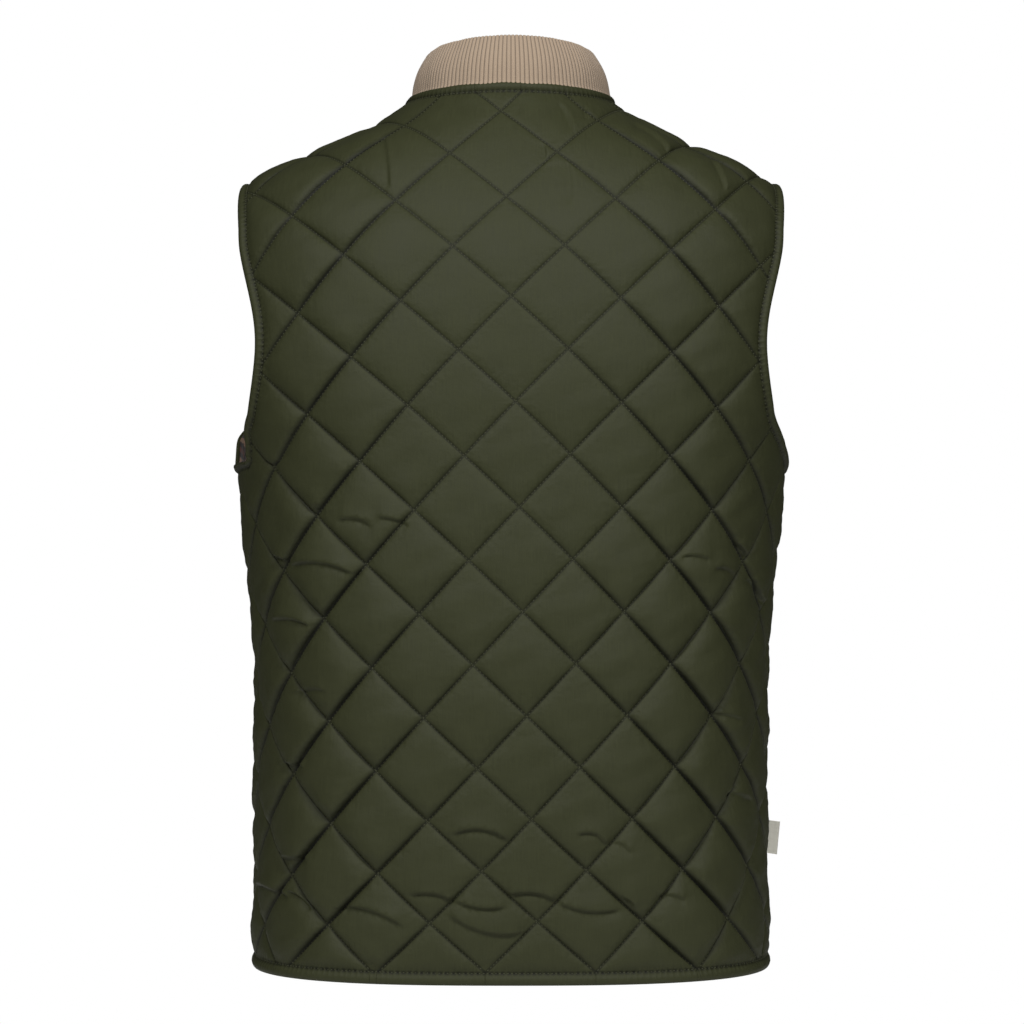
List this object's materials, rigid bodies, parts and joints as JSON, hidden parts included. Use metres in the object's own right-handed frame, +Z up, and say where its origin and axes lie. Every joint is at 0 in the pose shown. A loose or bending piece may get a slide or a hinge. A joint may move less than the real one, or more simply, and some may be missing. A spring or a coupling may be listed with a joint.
{
  "type": "reversible quilted vest",
  "caption": "Sleeveless diamond-quilted vest with a rib-knit stand collar, checked reverse side and closed front zip, filled out as worn and open at neck, armholes and hem.",
  "frame": {"origin": "midway between the two neck points of the shoulder seams, where the wearer's shoulders carry the vest", "axes": "+Z up, +Y towards the wearer's front, +X towards the wearer's right; the pictured back faces -Y"},
  "size_m": [0.419, 0.2878, 0.691],
  "materials": {
    "quilted_olive": "dark olive polyester taffeta, slightly lustrous, quilted in diamonds",
    "checked_lining": "small brown, black and tan woven check, matt",
    "tan_rib": "tan rib knit, matt",
    "zip_tape": "dark woven tape",
    "dark_metal": "dark plated zinc, softly polished",
    "cream_label": "cream woven ribbon"
  },
  "bodies": {
    "vest": {"back": "quilted_olive", "front_left": "quilted_olive", "front_right": "quilted_olive", "lining_back": "checked_lining", "lining_front_left": "checked_lining", "lining_front_right": "checked_lining", "collar": "tan_rib", "zip_tape_left": "zip_tape", "zip_tape_right": "zip_tape", "zip_chain": "dark_metal", "zip_box": "dark_metal", "zip_slider": "dark_metal", "side_label": "cream_label"},
    "pull_tab": {"zip_pull": "dark_metal"}
  },
  "joints": [
    {"name": "pull_tab_swing", "type": "hinge", "parent": "vest", "child": "pull_tab", "pos_m": [0, 0.07779, -0.09176], "axis": [1, 0, 0], "range_deg": [0, 150]}
  ]
}
